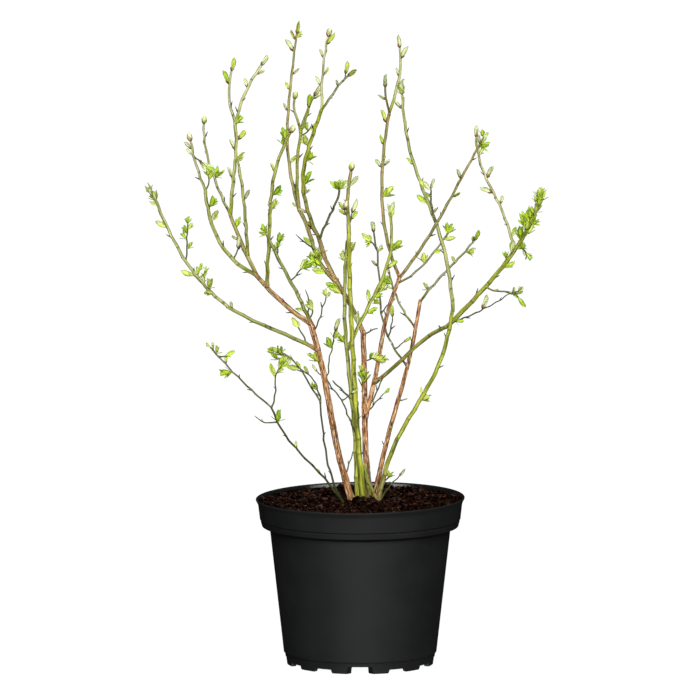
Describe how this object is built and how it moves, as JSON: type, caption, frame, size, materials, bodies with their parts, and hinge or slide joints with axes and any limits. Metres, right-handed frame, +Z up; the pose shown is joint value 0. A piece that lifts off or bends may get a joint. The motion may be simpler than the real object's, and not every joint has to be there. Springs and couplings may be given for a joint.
{
  "type": "potted blueberry bush",
  "caption": "Young blueberry bush with bare canes, swelling buds and small tufts of new leaves, standing in a round black nursery pot of compost.",
  "frame": {"origin": "on the ground, at the middle of the whole plant's box; the pot's axis stands about 16 mm to the right of it and 15 mm behind it", "axes": "+Z up, +X to the right and +Y to the back, seen from the side the bush is shown from"},
  "size_m": [0.4426, 0.3004, 0.706],
  "materials": {
    "pot_plastic": "satin black moulded plastic with a soft sheen",
    "compost": "moist dark brown bark and peat compost",
    "brown_bark": "reddish tan bark that peels in fine strips",
    "olive_bark": "young bark turning from green to brown",
    "green_bark": "smooth green shoots with small dark scars",
    "young_leaves": "fresh yellow green leaves and buds with a soft sheen"
  },
  "bodies": {
    "root": {"pot": "pot_plastic", "compost": "compost", "left_cane": "brown_bark", "left_bough": "brown_bark", "middle_cane": "brown_bark", "middle_bough": "brown_bark", "crown_bough": "brown_bark", "inner_right_cane": "brown_bark", "right_cane": "brown_bark", "forked_left_bough": "olive_bark", "left_crossing_shoot": "olive_bark", "tallest_shoot": "olive_bark", "crown_shoot": "olive_bark", "olive_bough": "olive_bark", "olive_shoot": "olive_bark", "tall_right_bough": "olive_bark", "right_bough": "olive_bark", "thin_left_cane": "green_bark", "lowest_left_cane": "green_bark", "left_green_cane": "green_bark", "right_green_cane": "green_bark", "arching_cane": "green_bark", "outer_left_bough": "green_bark", "outer_left_shoot": "green_bark", "high_left_bough": "green_bark", "high_left_shoot": "green_bark", "high_left_side_shoot": "green_bark", "inner_left_shoot": "green_bark", "left_upright": "green_bark", "slanting_left_shoot": "green_bark", "low_left_bough": "green_bark", "low_left_shoot": "green_bark", "thin_left_shoot": "green_bark", "lowest_left_shoot": "green_bark", "green_tip_shoot": "green_bark", "crown_side_shoot": "green_bark", "olive_top_shoot": "green_bark", "olive_side_shoot": "green_bark", "leaning_shoot": "green_bark", "tall_right_shoot": "green_bark", "tall_right_side_shoot": "green_bark", "right_leafy_shoot": "green_bark", "right_cane_shoot": "green_bark", "inward_shoot": "green_bark", "centre_back_shoot": "green_bark", "green_right_shoot": "green_bark", "low_right_bough": "green_bark", "far_right_bough": "green_bark", "far_right_shoot": "green_bark", "far_right_twig": "green_bark", "arching_bough": "green_bark", "arching_twig": "green_bark", "outer_tuft": "young_leaves", "low_left_tuft": "young_leaves", "left_cluster": "young_leaves", "centre_tuft": "young_leaves", "low_centre_tuft": "young_leaves", "right_tuft": "young_leaves", "right_cluster": "young_leaves", "low_right_tuft": "young_leaves"}
  },
  "joints": []
}
